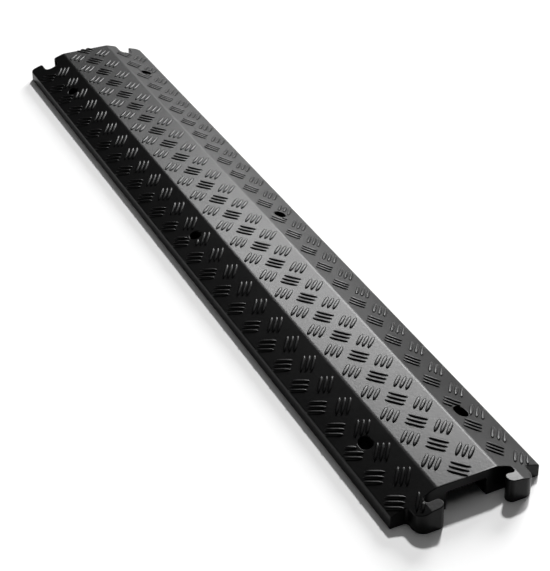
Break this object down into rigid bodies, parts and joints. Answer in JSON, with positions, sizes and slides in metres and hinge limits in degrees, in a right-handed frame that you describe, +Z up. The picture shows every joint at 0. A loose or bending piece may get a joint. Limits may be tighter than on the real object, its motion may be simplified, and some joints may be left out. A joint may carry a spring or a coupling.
{
  "type": "cable protector ramp",
  "caption": "Black drop-over cable ramp with a chequered tread, one channel underneath, screw holes, hooks at one end and sockets at the other.",
  "frame": {"origin": "on the floor, under the middle of the overall length (over the hooks) and of the width", "axes": "+X along the ramp, from the socket end to the hook end; +Y across it; +Z up from the floor"},
  "size_m": [0.925, 0.15, 0.028],
  "materials": {
    "ramp": "satin, fine grained"
  },
  "bodies": {
    "root": {"ramp": "ramp"}
  },
  "joints": []
}
